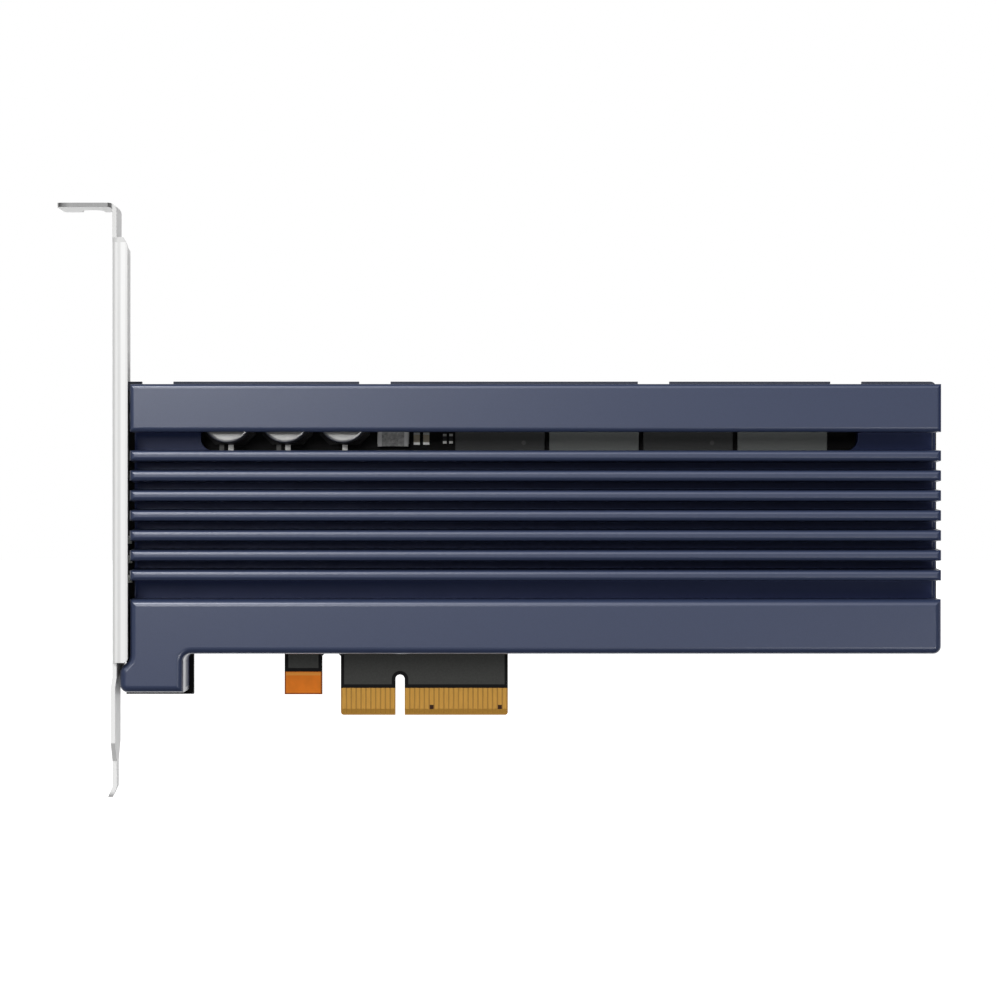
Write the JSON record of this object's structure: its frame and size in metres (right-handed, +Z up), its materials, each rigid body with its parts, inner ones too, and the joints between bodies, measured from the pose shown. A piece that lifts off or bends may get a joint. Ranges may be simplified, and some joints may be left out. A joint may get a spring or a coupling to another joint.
{
  "type": "pcie card solid state drive",
  "caption": "Low-profile solid state drive card with a finned blue heatsink, a gold card edge and a full-height bracket.",
  "frame": {"origin": "middle of the key notch at the bottom of the card edge, half-way through the board's thickness", "axes": "+X along the card away from the bracket, +Z up from the card edge, the heatsink faces -Y"},
  "size_m": [0.1788, 0.0192, 0.12],
  "materials": {
    "blue_anodised": "satin blue anodised aluminium",
    "bright_nickel": "bright nickel plated steel sheet",
    "board_mask": "dark solder mask over glass fibre board",
    "contact_gold": "plated gold",
    "orange_tape": "thin polyimide tape",
    "package_black": "moulded black package",
    "package_olive": "moulded olive grey package",
    "thermal_pad": "soft grey thermal pad",
    "capacitor_metal": "bright drawn aluminium can",
    "capacitor_plastic": "moulded black base",
    "tinned_metal": "matte tin plating",
    "screw_steel": "zinc plated steel",
    "moulded_grey": "moulded dark grey body",
    "ceramic_tan": "fired ceramic",
    "resistor_black": "glazed black film",
    "ferrite_grey": "pressed ferrite",
    "crystal_can": "drawn metal lid",
    "light_lens": "clear moulded lens"
  },
  "bodies": {
    "root": {"back_pad_1": "thermal_pad", "back_pad_2": "thermal_pad", "back_pad_3": "thermal_pad", "backplate": "blue_anodised", "bracket": "bright_nickel", "bracket_screws": "screw_steel", "bracket_spacers": "bright_nickel", "buffer_slot_1": "package_olive", "buffer_slot_2": "package_olive", "capacitor_base_1": "capacitor_plastic", "capacitor_base_2": "capacitor_plastic", "capacitor_base_3": "capacitor_plastic", "capacitor_can_1": "capacitor_metal", "capacitor_can_2": "capacitor_metal", "capacitor_can_3": "capacitor_metal", "capacitor_leads_1": "tinned_metal", "capacitor_leads_2": "tinned_metal", "capacitor_leads_3": "tinned_metal", "chip_capacitors": "ceramic_tan", "chip_ends": "tinned_metal", "chip_resistors": "resistor_black", "contacts_back": "contact_gold", "contacts_front": "contact_gold", "controller": "package_black", "controller_pad": "thermal_pad", "crystal": "crystal_can", "dram_1": "package_black", "dram_2": "package_black", "dram_pad_1": "thermal_pad", "dram_pad_2": "thermal_pad", "flash_back_1": "package_black", "flash_back_2": "package_black", "flash_back_3": "package_black", "flash_inner_1": "package_black", "flash_inner_2": "package_black", "flash_inner_3": "package_black", "flash_inner_4": "package_black", "flash_inner_5": "package_black", "flash_inner_6": "package_black", "flash_pad_1": "thermal_pad", "flash_pad_2": "thermal_pad", "flash_slot_1": "package_black", "flash_slot_2": "package_black", "heatsink": "blue_anodised", "heatsink_screws": "screw_steel", "moulded_capacitor": "moulded_grey", "moulded_capacitor_ends": "tinned_metal", "pcb": "board_mask", "power_inductor_1": "ferrite_grey", "power_inductor_2": "ferrite_grey", "power_inductor_3": "ferrite_grey", "regulator_1": "package_black", "regulator_2": "package_black", "status_lights": "light_lens", "tab_tape": "orange_tape"}
  },
  "joints": []
}
